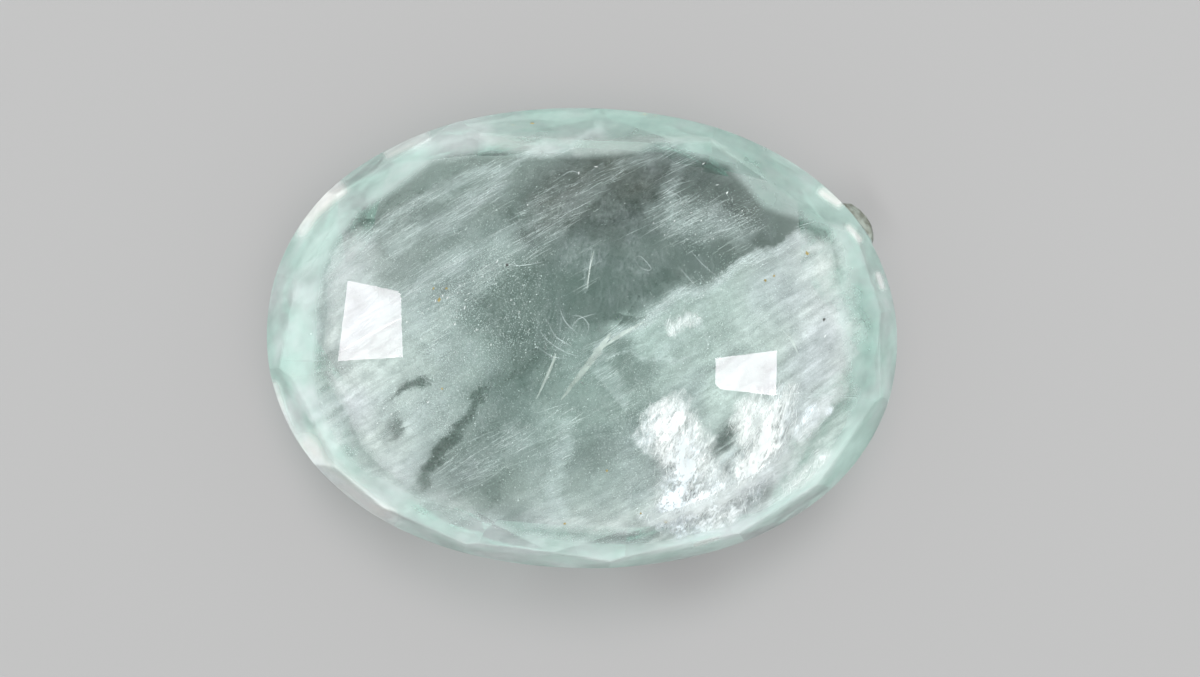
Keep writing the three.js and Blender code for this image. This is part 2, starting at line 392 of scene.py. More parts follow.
def distance_to_path(px, py, path):
    if len(path) == 1:
        return np.hypot(px - path[0][0], py - path[0][1])
    nearest = np.full(px.shape, 1e9)
    for (ax, ay), (bx, by) in zip(path, path[1:]):
        dx, dy = bx - ax, by - ay
        along = ((px - ax) * dx + (py - ay) * dy) / (dx * dx + dy * dy)
        along = np.clip(along, 0, 1)
        nearest = np.minimum(nearest, np.hypot(px - ax - along * dx, py - ay - along * dy))
    return nearest


def stroke(px, py, path, width):
    return np.exp(-((distance_to_path(px, py, path) / width) ** 2))


def area(px, py, corners, soft):
    inside = np.zeros(px.shape, bool)
    ring = corners + corners[:1]
    for (ax, ay), (bx, by) in zip(ring, ring[1:]):
        if ay == by:
            continue
        crosses = (ay > py) != (by > py)
        inside ^= crosses & (px < (bx - ax) * (py - ay) / (by - ay) + ax)
    reach = distance_to_path(px, py, ring)
    signed = np.where(inside, reach, -reach)
    level = np.clip(signed / soft * 0.5 + 0.5, 0, 1)
    return level * level * (3 - 2 * level)


def ragged(px, py):
    """Moves pixels a little to and fro, so that the shapes have uneven edges."""
    wave_x = 3.2 * np.sin(0.071 * py + 0.043 * px) + 2.2 * np.sin(0.19 * py - 0.12 * px + 1.3)
    wave_y = 3.2 * np.sin(0.083 * px - 0.037 * py + 0.7) + 2.2 * np.sin(0.17 * px + 0.14 * py + 2.1)
    fine_x = 1.3 * np.sin(0.51 * py + 0.33 * px + 0.4)
    fine_y = 1.3 * np.sin(0.47 * px - 0.39 * py + 1.9)
    return px + wave_x + fine_x, py + wave_y + fine_y


def shape_mask(px, py, shape):
    if "beyond" in shape:
        return 1 - area(px, py, shape["beyond"], shape["soft"])
    if "area" in shape:
        return area(px, py, shape["area"], shape["soft"])
    return stroke(px, py, shape["path"], shape["width"])


def amount(px, py, shapes, gaps=(), uneven=True):
    """How thick the flaws are at each pixel: the shapes build up, and the gaps thin them."""
    if uneven:
        px, py = ragged(px, py)
    clear = np.ones(px.shape)
    for shape in shapes:
        clear *= 1 - shape["level"] * shape_mask(px, py, shape)
    full = 1 - clear
    for gap in gaps:
        full *= 1 - gap["level"] * shape_mask(px, py, gap)
    return full


MILK = [
    {"area": [(618, 342), (648, 322), (684, 300), (728, 280), (756, 259), (802, 240), (842, 228),
              (850, 262), (856, 330), (858, 392), (838, 455), (790, 505), (735, 540), (690, 552),
              (655, 550), (640, 500), (652, 440), (664, 400), (648, 366)], "soft": 16, "level": 0.75},
    {"path": [(676, 338), (730, 320), (780, 330)], "width": 36, "level": 0.4},
    {"path": [(690, 400), (740, 420), (790, 440), (830, 430)], "width": 30, "level": 0.4},
    {"path": [(690, 540), (760, 500), (820, 460)], "width": 30, "level": 0.6},
    {"path": [(640, 520), (652, 480), (664, 430)], "width": 26, "level": 0.4},
    {"area": [(285, 345), (305, 260), (336, 225), (366, 250), (384, 290), (420, 300), (446, 330),
              (446, 370), (424, 420), (425, 480), (460, 530), (400, 510), (330, 460), (290, 400)],
     "soft": 30, "level": 0.72},
    {"path": [(320, 430), (360, 400), (410, 410)], "width": 26, "level": 0.62},
    {"area": [(400, 505), (470, 505), (520, 520), (570, 480), (640, 455), (665, 552), (600, 566),
              (520, 562), (455, 548), (415, 530)], "soft": 30, "level": 0.5},
    {"path": [(436, 330), (470, 372), (440, 420)], "width": 32, "level": 0.4},
    {"path": [(556, 420), (540, 480)], "width": 30, "level": 0.25},
    {"path": [(330, 250), (430, 262), (500, 250)], "width": 28, "level": 0.2},
    {"path": [(650, 400), (640, 480)], "width": 30, "level": 0.35},
    {"path": [(586, 364), (604, 400)], "width": 28, "level": 0.3},
]
VEILS = [
    {"path": [(300, 300), (378, 230), (440, 194), (500, 170)], "width": 7, "level": 0.45},
    {"path": [(500, 170), (560, 148), (600, 132)], "width": 5, "level": 0.4},
    {"path": [(395, 245), (470, 208), (500, 186)], "width": 9, "level": 0.45},
    {"path": [(360, 330), (405, 297), (462, 259)], "width": 13, "level": 0.5},
    {"path": [(462, 259), (555, 207), (590, 186)], "width": 5, "level": 0.2},
    {"path": [(572, 212), (622, 172), (660, 148), (700, 146)], "width": 8, "level": 0.2},
    {"path": [(520, 214), (560, 190), (600, 170)], "width": 4, "level": 0.15},
    {"path": [(420, 330), (500, 262), (560, 225)], "width": 12, "level": 0.2},
    {"path": [(600, 350), (622, 335), (640, 324)], "width": 4, "level": 0.45},
    {"path": [(640, 324), (682, 297), (724, 281), (752, 258), (800, 240)], "width": 6, "level": 0.5},
    {"path": [(668, 218), (700, 222), (734, 232)], "width": 15, "level": 0.4},
    {"path": [(668, 188), (672, 212)], "width": 5, "level": 0.5},
    {"path": [(700, 150), (672, 176), (650, 214)], "width": 7, "level": 0.2},
    {"path": [(597, 354), (640, 358), (692, 358)], "width": 2.5, "level": 0.4},
    {"path": [(597, 356), (612, 378), (622, 402)], "width": 6, "level": 0.35},
    {"path": [(564, 425), (558, 470), (555, 520)], "width": 8, "level": 0.45},
    {"path": [(450, 480), (520, 440)], "width": 14, "level": 0.25},
    {"path": [(592, 252), (588, 290)], "width": 3, "level": 0.3},
]
GRAINS = [
    {"path": [(400, 345), (470, 290), (500, 268)], "width": 18, "level": 0.9},
    {"path": [(398, 408), (430, 410), (448, 425)], "width": 17, "level": 0.9},
    {"path": [(440, 380), (480, 340)], "width": 34, "level": 0.6},
    {"path": [(520, 290), (540, 340)], "width": 34, "level": 0.3},
    {"path": [(360, 280), (500, 210)], "width": 60, "level": 0.16},
    {"path": [(640, 410), (645, 480)], "width": 34, "level": 0.55},
    {"path": [(470, 470), (560, 440)], "width": 50, "level": 0.25},
    {"path": [(690, 225), (740, 215)], "width": 22, "level": 0.4},
    {"path": [(640, 326), (730, 272)], "width": 9, "level": 0.9},
    {"path": [(700, 350), (800, 330)], "width": 50, "level": 0.3},
    {"path": [(330, 300), (345, 470)], "width": 40, "level": 0.25},
    {"path": [(480, 530), (660, 530)], "width": 30, "level": 0.2},
]
# Small spindle-shaped gaps in the milk, darker than what lies round them.
LONG_SPINDLE = [(418, 488), (432, 462), (444, 440), (458, 420), (478, 394), (484, 397), (473, 417),
                (463, 438), (450, 458), (434, 476)]
UPPER_SPINDLE = [(394, 400), (408, 386), (426, 377), (434, 382), (420, 394), (406, 398)]
LOWER_SPINDLE = [(385, 436), (391, 424), (404, 416), (406, 424), (397, 433)]
FLASH_GAP = [(701, 452), (712, 436), (732, 423), (735, 430), (722, 443)]
SMALL_FLASH_GAP = [(718, 472), (726, 457), (736, 450), (733, 465)]
GAPS = [
    {"area": LONG_SPINDLE, "soft": 5, "level": 0.85},
    {"path": [(484, 392), (540, 356)], "width": 9, "level": 0.55},
    {"area": UPPER_SPINDLE, "soft": 4, "level": 0.8},
    {"area": LOWER_SPINDLE, "soft": 5, "level": 0.7},
    {"area": FLASH_GAP, "soft": 6, "level": 0.8},
    {"area": SMALL_FLASH_GAP, "soft": 6, "level": 0.7},
    {"path": [(692, 492), (708, 484)], "width": 6, "level": 0.6},
    {"path": [(738, 500), (762, 488)], "width": 8, "level": 0.45},
    {"path": [(484, 500), (500, 488)], "width": 9, "level": 0.3},
    {"path": [(326, 372), (338, 356)], "width": 8, "level": 0.5},
]
FLASHES = [
    {"area": [(656, 430), (664, 414), (680, 406), (690, 440), (706, 456), (712, 486), (700, 520),
              (684, 514), (666, 500), (672, 466)], "soft": 24, "level": 1},
    {"path": [(670, 430), (684, 470), (690, 505)], "width": 13, "level": 0.8},
    {"area": [(738, 424), (752, 404), (782, 402), (778, 428), (766, 450), (750, 474), (736, 476),
              (744, 446)], "soft": 22, "level": 1},
    {"path": [(766, 412), (760, 440), (748, 464)], "width": 11, "level": 0.8},
    {"area": [(676, 500), (718, 492), (722, 524), (700, 540), (684, 530)], "soft": 22, "level": 0.8},
    {"path": [(650, 436), (664, 414)], "width": 9, "level": 0.4},
    {"path": [(800, 432), (812, 416), (824, 402)], "width": 6, "level": 0.7},
    {"path": [(690, 548), (724, 536)], "width": 6, "level": 0.5},
    {"path": [(790, 480), (806, 472), (824, 462)], "width": 9, "level": 0.4},
    {"path": [(720, 508), (752, 494)], "width": 7, "level": 0.4},
    {"path": [(646, 512), (664, 520)], "width": 7, "level": 0.3},
    {"path": [(676, 330), (692, 322)], "width": 7, "level": 0.2},
]
# Haze and painted light: the pale aqua band of bezel facets round the window is partly haze and partly
# painted onto a rim sheet; the first shape is all beyond the window's outline.
RIM_HAZE_AND_PAINTED_LIGHT = [
    {"beyond": [(317, 405), (317, 312), (330, 250), (360, 214), (400, 186), (432, 162), (488, 155),
                (552, 158), (583, 157), (642, 153), (655, 147), (700, 160), (727, 167), (762, 208),
                (825, 230), (842, 252), (833, 317), (845, 360), (850, 390), (838, 450), (800, 492),
                (740, 524), (680, 538), (600, 541), (520, 529), (455, 508), (405, 486), (350, 458),
                (330, 436)], "soft": 5, "level": 0.38},
    {"path": [(420, 150), (486, 145)], "width": 9, "level": 0.5},
    {"area": [(300, 240), (350, 192), (420, 148), (490, 126), (490, 138), (432, 156), (400, 186),
              (362, 214), (330, 262)], "soft": 8, "level": 0.35},
    {"path": [(302, 262), (292, 310), (290, 360), (296, 410), (320, 452)], "width": 26, "level": 0.5},
    {"path": [(310, 400), (350, 440), (390, 480)], "width": 24, "level": 0.15},
    {"path": [(312, 238), (286, 290), (279, 345), (286, 400), (312, 452), (356, 496), (410, 532),
              (480, 552), (570, 561)], "width": 15, "level": 0.5},
    {"path": [(570, 561), (660, 556), (740, 530), (805, 494), (850, 444)], "width": 17, "level": 0.55},
    {"path": [(850, 444), (878, 390), (888, 330), (880, 280), (858, 236), (820, 198)], "width": 17,
     "level": 0.45},
    {"path": [(820, 198), (770, 160), (700, 132), (620, 118), (540, 118), (470, 128)], "width": 12,
     "level": 0.25},
    {"path": [(470, 128), (410, 150), (356, 188), (312, 238)], "width": 14, "level": 0.35},
]
# Painted glints: where a white sheet under the rim facets paints bright glints of light.
RIM_PAINTED_GLINTS = [
    {"area": [(470, 138), (572, 140), (552, 156), (500, 150)], "soft": 5, "level": 0.15},
    {"area": [(560, 138), (654, 143), (640, 151), (576, 156)], "soft": 4, "level": 0.15},
    {"path": [(636, 138), (710, 142), (738, 160)], "width": 4, "level": 0.1},
    {"path": [(308, 444), (320, 464), (340, 484), (364, 502), (386, 515)], "width": 11, "level": 1},
    {"path": [(275, 386), (282, 412), (293, 436)], "width": 5, "level": 0.8},
    {"path": [(302, 230), (318, 210), (340, 190)], "width": 7, "level": 0.85},
    {"path": [(388, 154), (404, 146), (426, 137)], "width": 4, "level": 0.6},
    {"path": [(822, 193), (838, 204)], "width": 4, "level": 0.8},
    {"path": [(848, 228), (858, 240)], "width": 3, "level": 0.7},
    {"path": [(877, 275), (881, 287)], "width": 2.5, "level": 0.9},
    {"path": [(696, 545), (716, 539)], "width": 3, "level": 0.6},
]
DUST = [
    {"path": [(440, 230), (620, 230)], "width": 150, "level": 1},
    {"path": [(420, 400), (620, 430)], "width": 130, "level": 1},
]
# Painted shade: where a near-black sheet inside the stone darkens the view through its window.
SHADE = [
    {"area": [(530, 236), (530, 205), (560, 178), (590, 156), (650, 152), (690, 150), (760, 205),
              (745, 225), (700, 205), (655, 232), (610, 236)], "soft": 30, "level": 0.8},
    {"path": [(560, 218), (600, 206), (640, 206)], "width": 24, "level": 0.6},
    {"path": [(560, 330), (600, 330), (640, 290)], "width": 40, "level": 0.1},
    {"path": [(530, 240), (520, 330)], "width": 40, "level": 0.1},
    {"path": [(440, 320), (480, 400)], "width": 26, "level": 0.15},
]
# Painted shade: where a faint near-black sheet darkens the spindle-shaped gaps in the milk.
SPINDLES = [
    {"area": LONG_SPINDLE, "soft": 5, "level": 0.85},
    {"path": [(484, 392), (540, 356)], "width": 8, "level": 0.3},
    {"area": UPPER_SPINDLE, "soft": 4, "level": 0.8},
    {"area": LOWER_SPINDLE, "soft": 5, "level": 0.7},
    {"area": FLASH_GAP, "soft": 6, "level": 0.6},
    {"area": SMALL_FLASH_GAP, "soft": 6, "level": 0.5},
    {"path": [(740, 499), (762, 489)], "width": 7, "level": 0.25},
    {"path": [(486, 500), (500, 488)], "width": 8, "level": 0.2},
    {"path": [(386, 222), (420, 206)], "width": 12, "level": 0.3},
    {"path": [(322, 374), (338, 352)], "width": 7, "level": 0.3},
]
# Fine lines: where each runs in the photo.
SCRATCHES = [
    [(318, 284), (340, 264), (372, 236)], [(324, 296), (350, 268), (384, 240)],
    [(286, 361), (312, 361), (342, 360)],
    [(776, 393), (820, 394), (866, 397)], [(876, 330), (877, 362), (876, 396)],
    [(678, 268), (688, 280), (698, 290)], [(752, 514), (770, 503), (792, 490)],
    [(834, 462), (846, 440), (862, 414)], [(414, 356), (418, 368), (426, 378), (436, 384)],
    [(468, 442), (478, 437), (488, 433)], [(532, 497), (540, 500), (548, 501)],
    [(400, 503), (393, 514), (402, 524), (412, 534)], [(800, 313), (804, 314), (807, 317)],
    [(596, 314), (588, 316), (578, 320), (570, 330)], [(572, 316), (582, 317), (589, 326), (586, 337)],
    [(540, 330), (550, 342), (566, 352), (580, 356)], [(548, 320), (556, 336), (572, 346)],
    [(535, 344), (552, 356), (568, 358)], [(560, 308), (566, 322), (578, 334)],
    [(634, 259), (640, 257), (650, 268), (648, 271), (640, 268), (634, 259)],
    [(592, 250), (590, 268), (588, 290)], [(556, 352), (548, 376), (538, 398)],
    [(500, 262), (520, 266), (546, 262)], [(560, 178), (572, 172), (582, 176)],
    [(690, 252), (700, 264), (716, 278)], [(780, 330), (790, 342), (796, 356)],
    [(700, 330), (706, 342), (704, 352)], [(664, 196), (672, 194), (680, 200), (676, 208)],
]
# Blades: flat lens-shaped plates near the culet, with their width in millimetres.
BLADES = [
    ([(611, 334), (597, 354), (580, 376), (562, 398)], 0.12), ([(557, 354), (548, 376), (538, 398)], 0.06),
    ([(598, 352), (620, 336), (644, 322)], 0.07),
    ([(594, 252), (590, 270), (587, 290)], 0.03), ([(780, 330), (790, 342), (796, 356)], 0.04),
]
# Small bright, rusty and dark spots.
SPARKS = [(467, 300), (466, 308), (493, 274), (492, 268), (458, 311), (456, 324), (462, 227), (664, 199),
          (670, 204), (703, 166), (579, 174), (566, 215), (731, 201), (664, 236), (653, 224), (823, 336),
          (402, 411), (400, 409), (631, 521), (386, 180), (357, 213), (324, 457), (672, 328), (380, 423),
          (541, 278), (548, 290), (585, 240), (840, 300), (698, 318),
          (437, 301), (444, 296), (449, 298), (454, 292), (459, 293), (461, 286), (466, 284), (471, 287),
          (475, 281), (480, 283), (484, 277), (489, 279), (496, 270), (498, 262), (487, 267), (470, 294),
          (463, 301), (458, 317), (452, 321), (449, 327), (430, 309), (424, 313), (433, 316), (408, 322),
          (512, 300), (520, 312), (502, 318), (530, 330), (478, 330), (470, 340), (492, 345), (505, 282),
          (536, 198), (548, 190), (528, 206), (596, 168), (610, 160), (716, 186), (726, 194), (741, 212),
          (690, 214), (700, 222), (682, 206), (694, 236), (712, 240), (674, 222), (412, 402), (420, 408),
          (394, 414), (386, 408), (430, 402), (436, 412), (646, 500), (660, 530), (702, 296), (720, 290)]
RUST = [(435, 289), (448, 289), (441, 300), (513, 126), (532, 123), (645, 115), (655, 117), (763, 282),
        (772, 277), (805, 254), (640, 510), (665, 519), (565, 521), (607, 468), (862, 453), (444, 388)]
DARK = [(508, 265), (841, 228), (822, 320)]
# The bright crack in the left flashing facet, and the short dark line at the lower rim.
CRACK = [(345, 350), (372, 334), (403, 318)]
DARK_LINE = [(492, 552), (503, 552), (513, 552)]


def add_piece(name, vertices, faces, finish, values=None):
    """A mesh from points in millimetres; values are how thick the flaw is at each point."""
    mesh = bpy.data.meshes.new(name)
    mesh.from_pydata((np.asarray(vertices) * MM).tolist(), [], faces)
    if values is not None:
        held = mesh.attributes.new("amount", "FLOAT", "POINT")
        held.data.foreach_set("value", np.asarray(values, np.float32))
    mesh.materials.append(finish)
    piece = bpy.data.objects.new(name, mesh)
    scene.collection.objects.link(piece)
    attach(piece, "root")
    return piece


def turned_noise(tree, place, angle, across, stretch, detail):
    """Noise drawn out along an angle in degrees; across is its size in millimetres."""
    turn = node(tree, "ShaderNodeMapping")
    socket(turn, "Rotation", (0, 0, math.radians(-angle)))
    squeeze = node(tree, "ShaderNodeMapping")
    per_metre = 1 / (across * MM)
    socket(squeeze, "Scale", (per_metre / stretch, per_metre, per_metre))
    noise = node(tree, "ShaderNodeTexNoise")
    socket(noise, "Scale", 1)
    socket(noise, "Detail", detail)
    socket(noise, "Roughness", 0.62)
    tree.links.new(place.outputs["Object"], turn.inputs[0])
    tree.links.new(turn.outputs[0], squeeze.inputs[0])
    tree.links.new(squeeze.outputs[0], noise.inputs["Vector"])
    return noise


def veil_material(name, colour, tint, angle, layers, mirror=0.0, flatness=1.0, shades=True):
    """A thin cloudy sheet, of fine grains in most pieces and of painted shade or painted light in some:
    its cover is the piece's amount, broken up by layers of noise, its colour drifts slowly to a tint,
    and it takes light from above as a flat cloud does; a lower flatness lets the slope of the sheet
    show, and shades says whether it casts a shadow."""
    made = material(name)
    tree = made.node_tree
    out = node(tree, "ShaderNodeOutputMaterial")
    shader = node(tree, "ShaderNodeBsdfPrincipled")
    socket(shader, "Roughness", 0.5)
    socket(shader, "Metallic", mirror)
    socket(shader, "Specular IOR Level", 0.2)
    place = node(tree, "ShaderNodeTexCoord")
    drift = turned_noise(tree, place, angle, 1.6, 1.5, 3)
    ramp = blend(tree, drift.outputs[0], 0.42, colour, 0.64, tint)
    tree.links.new(ramp.outputs[0], shader.inputs["Base Color"])
    up = node(tree, "ShaderNodeNormal")
    slope = node(tree, "ShaderNodeNewGeometry")
    # Sockets 4 and 5 and output 1 are the Mix node's vectors; its other kinds share their names.
    facing = node(tree, "ShaderNodeMix", data_type="VECTOR")
    socket(facing, "Factor", flatness)
    tree.links.new(slope.outputs["Normal"], facing.inputs[4])
    tree.links.new(up.outputs["Normal"], facing.inputs[5])
    tree.links.new(facing.outputs[1], shader.inputs["Normal"])
    held = node(tree, "ShaderNodeAttribute", attribute_name="amount")
    cover = held.outputs["Fac"]
    for across, stretch, detail, contrast, low, high in layers:
        noise = turned_noise(tree, place, angle, across, stretch, detail)
        broken = node(tree, "ShaderNodeMapRange")
        socket(broken, "From Min", 0.5 - 0.5 / contrast)
        socket(broken, "From Max", 0.5 + 0.5 / contrast)
        socket(broken, "To Min", low)
        socket(broken, "To Max", high)
        tree.links.new(noise.outputs[0], broken.inputs["Value"])
        cover = combine(tree, "MULTIPLY", broken.outputs[0], cover)
    if not shades:
        ray = node(tree, "ShaderNodeLightPath")
        lit = combine(tree, "SUBTRACT", 1, ray.outputs["Is Shadow Ray"])
        cover = combine(tree, "MULTIPLY", lit, cover)
    full = node(tree, "ShaderNodeClamp")
    tree.links.new(cover, full.inputs[0])
    tree.links.new(full.outputs[0], shader.inputs["Alpha"])
    tree.links.new(shader.outputs[0], out.inputs["Surface"])
    return made


def make_sheet(name, finish, shapes, strength, height=None, depth=None, step=0.07, reach=0.95,
               gaps=GAPS):
    """A grid of small faces inside the stone, at one height or at a depth under its smooth shape,
    kept only where the flaws or the painted shade and light show."""
    xs = np.arange(-HALF_LENGTH, HALF_LENGTH, step)
    ys = np.arange(-HALF_WIDTH, HALF_WIDTH, step)
    x, y = np.meshgrid(xs, ys)
    wave = 0.06 * np.sin(1.7 * x + 0.8 * y) + 0.05 * np.sin(2.3 * y - 1.1 * x)
    if depth is not None:
        z = surface_height(x, y) - depth + wave
    else:
        z = height + wave
    room = clearance(x, y, z)
    fits = (room > LEAST_ROOM) & (oval_radius(x, y) < reach)
    px, py = seen_at(x, y, z)
    fade = 0.3 if depth is None else 0.03
    values = strength * amount(px, py, shapes, gaps) * np.clip((room - LEAST_ROOM) / fade, 0, 1)
    values *= np.clip((reach - oval_radius(x, y)) / EDGE_FADE, 0, 1)
    keep = fits & (values > LEAST_COVER)
    cell = keep[:-1, :-1] & keep[1:, :-1] & keep[:-1, 1:] & keep[1:, 1:]
    number = np.full(x.shape, -1)
    used = np.zeros(x.shape, bool)
    used[:-1, :-1] |= cell
    used[1:, :-1] |= cell
    used[:-1, 1:] |= cell
    used[1:, 1:] |= cell
    number[used] = np.arange(used.sum())
    corners = (number[:-1, :-1], number[:-1, 1:], number[1:, 1:], number[1:, :-1])
    faces = np.stack([corner[cell] for corner in corners], -1)
    points = np.stack((x[used], y[used], z[used]), -1)
    return add_piece(name, points, faces.tolist(), finish, values[used])


def outline_reach(turn):
    """How far the stone's outline lies from its middle in one direction, in millimetres."""
    near, far = 4.0, HALF_LENGTH + 0.1
    for _ in range(12):
        middle = (near + far) / 2
        if span_at(middle * math.cos(turn), middle * math.sin(turn)):
            near = middle
        else:
            far = middle
    return near


def make_rim_sheet(name, finish, shapes, strength, skin):
    """A ring-shaped sheet that follows the facets inside the rim, a skin's depth below them."""
    turns = np.linspace(0, 2 * math.pi, RIM_TURNS, endpoint=False)
    insets = RIM_START + RIM_WIDTH * np.linspace(0, 1, RIM_INSETS) ** 1.4
    points = []
    for turn in turns:
        reach = outline_reach(turn)
        for inset in insets:
            x = (reach - inset) * math.cos(turn)
            y = (reach - inset) * math.sin(turn)
            low, high = span_at(x, y)
            points.append((x, y, max(high - skin, (low + high) / 2)))
    x, y, z = np.array(points).T
    px, py = seen_at(x, y, z)
    values = strength * amount(px, py, shapes, uneven=False)
    number = np.arange(len(points)).reshape(len(turns), len(insets))
    after = np.roll(number, -1, axis=0)
    corners = (number[:, :-1], after[:, :-1], after[:, 1:], number[:, 1:])
    faces = np.stack(corners, -1).reshape(-1, 4)
    shown = values[faces].max(axis=1) > LEAST_COVER
    used = np.unique(faces[shown])
    renumber = np.zeros(len(points), int)
    renumber[used] = np.arange(len(used))
    vertices = np.stack((x, y, z), -1)[used]
    return add_piece(name, vertices, renumber[faces[shown]].tolist(), finish, values[used])


def scatter(rng, shapes, count, gaps=GAPS):
    """Random pixels of the photo, as dense as the shapes say."""
    found_x, found_y = [], []
    total = 0
    while total < count:
        px = rng.uniform(STONE_X - 310, STONE_X + 310, 4 * count)
        py = rng.uniform(STONE_Y - 225, STONE_Y + 225, 4 * count)
        x, y = photo_to_stone(px, py)
        thick = amount(px, py, shapes, gaps)
        chosen = (oval_radius(x, y) < SCATTER_REACH) & (rng.random(px.shape) < thick)
        found_x.append(px[chosen])
        found_y.append(py[chosen])
        total += chosen.sum()
    return np.concatenate(found_x)[:count], np.concatenate(found_y)[:count]


def unit(vectors):
    return vectors / np.linalg.norm(vectors, axis=-1, keepdims=True)


def make_flakes(name, finish, centres, along, across, length, width):
    """One small four-cornered flake at each centre that lies inside the stone."""
    fits = clearance(centres[:, 0], centres[:, 1], centres[:, 2]) > FLAKE_ROOM
    centres, along, across, length, width = (v[fits] for v in (centres, along, across, length, width))
    half_l = along * (length / 2)[:, None]
    half_w = across * (width / 2)[:, None]
    corners = np.stack((centres - half_l, centres + half_w, centres + half_l, centres - half_w), axis=1)
    vertices = corners.reshape(-1, 3)
    faces = np.arange(len(vertices)).reshape(-1, 4)
    return add_piece(name, vertices, faces.tolist(), finish)


def random_turns(rng, count, lean):
    """Two directions at right angles for each flake; a small lean keeps it near level."""
    lean_x, lean_y = lean * rng.normal(size=count), lean * rng.normal(size=count)
    normal = unit(np.stack((lean_x, lean_y, np.ones(count)), -1))
    spin = rng.uniform(0, 2 * math.pi, count)
    first = np.stack((np.cos(spin), np.sin(spin), np.zeros(count)), -1)
    along = unit(first - normal * np.sum(first * normal, -1, keepdims=True))
    return along, np.cross(normal, along)


def needle_turns(rng, count, angle, spread, dip):
    """Like random_turns, but drawn out near one angle in degrees."""
    turn = np.radians(angle + rng.normal(0, spread, count))
    along = unit(np.stack((np.cos(turn), np.sin(turn), rng.normal(0, dip, count)), -1))
    normal = unit(np.stack((rng.normal(0, 0.5, count), rng.normal(0, 0.5, count), np.ones(count)), -1))
    return along, unit(np.cross(normal, along))


def smooth_path(path, per_span):
    """A rounded line through the points of a path."""
    points = np.array([path[0]] + list(path) + [path[-1]], float)
    rows = []
    for a, b, c, d in zip(points, points[1:], points[2:], points[3:]):
        for t in np.arange(per_span) / per_span:
            rows.append(0.5 * (2 * b + (c - a) * t + (2 * a - 5 * b + 4 * c - d) * t * t
                               + (3 * b - a - 3 * c + d) * t ** 3))
    rows.append(points[-1])
    return np.array(rows)


def make_ribbons(name, finish, rng, paths, widths, depth):
    """Thin flat ribbons along paths of the photo, tapered at both ends."""
    vertices, faces = [], []
    for path, width in zip(paths, widths):
        line = smooth_path(path, 8)
        place = sink(line[:, 0], line[:, 1], np.full(len(line), depth) + rng.uniform(-0.04, 0.04))
        run = unit(np.gradient(place, axis=0))
        side = unit(np.cross(run, (0, 0, 1)))
        ripple = 1 + 0.15 * np.sin(np.linspace(rng.uniform(0, 6), 12, len(line)))
        taper = np.sin(np.linspace(0.08, math.pi - 0.08, len(line))) ** 0.7
        half = (width / 2 * taper * ripple)[:, None]
        first = len(vertices)
        vertices.extend(np.stack((place - side * half, place + side * half), 1).reshape(-1, 3).tolist())
        for i in range(len(line) - 1):
            k = first + 2 * i
            faces.append((k, k + 1, k + 3, k + 2))
    return add_piece(name, vertices, faces, finish)


def speck_mesh(rng, spots, size, depth):
    """A small bent six-sided plate at each spot."""
    vertices, faces = [], []
    for px, py in spots:
        centre = sink(np.array([px]), np.array([py]), np.array([depth]))[0]
        scale = size * rng.uniform(0.7, 1.5)
        spin = rng.uniform(0, math.pi)
        first = len(vertices)
        for i in range(6):
            turn = spin + i * math.pi / 3
            reach = scale * rng.uniform(0.5, 1.1)
            lift = scale * rng.normal(0, 0.2)
            corner = (reach * math.cos(turn), reach * math.sin(turn), lift)
            vertices.append(tuple(centre + corner))
        faces.append(tuple(range(first, first + 6)))
    return vertices, faces


def flake_material(name, colour, shade, grain, roughness, cover=1.0):
    """Mottled between a colour and a darker shade of it; grain is the mottle's size in millimetres."""
    made = material(name)
    tree = made.node_tree
    out = node(tree, "ShaderNodeOutputMaterial")
    shader = node(tree, "ShaderNodeBsdfPrincipled")
    place = node(tree, "ShaderNodeTexCoord")
    noise = node(tree, "ShaderNodeTexNoise")
    socket(noise, "Scale", 1 / (grain * MM))
    tree.links.new(place.outputs["Object"], noise.inputs["Vector"])
    darker = tuple(shade * c for c in colour[:3]) + (1,)
    ramp = blend(tree, noise.outputs[0], 0.35, darker, 0.62, colour)
    tree.links.new(ramp.outputs[0], shader.inputs["Base Color"])
    socket(shader, "Roughness", roughness)
    socket(shader, "Alpha", cover)
    tree.links.new(shader.outputs[0], out.inputs["Surface"])
    return made


# Layers of noise in a sheet: size across, stretch, detail, contrast, least and most cover.
CLOUD = (1.1, 1.6, 3, 2.4, 0.55, 1.4)
HAZE = (0.9, 1.4, 3, 2.4, 0.75, 1.2)
PUFFS = (0.3, 1.3, 5, 2.4, 0.6, 1.35)
STREAKS = (0.16, 10, 3, 2.4, 0.6, 1.35)
THREADS = (0.05, 30, 2, 2.6, 0.5, 1.4)
FINE_GRAINS = (0.03, 1.2, 2, 2.4, 0.8, 1.2)
MOTTLE = (0.14, 1.5, 5, 3.2, 0.0, 1.7)
FEATHER_LAYERS = ((0.4, 2.2, 5, 3.2, -0.2, 1.9), (0.06, 8, 3, 2.6, 0.2, 1.8))
DUST_LAYERS = ((0.5, 1.4, 5, 2.8, 0, 2), (0.05, 9, 3, 2.6, 0.1, 1.9))
# The feathers and the dust run steeper than the growth, in degrees.
FEATHER_ANGLE = 76
DUST_ANGLE = 80


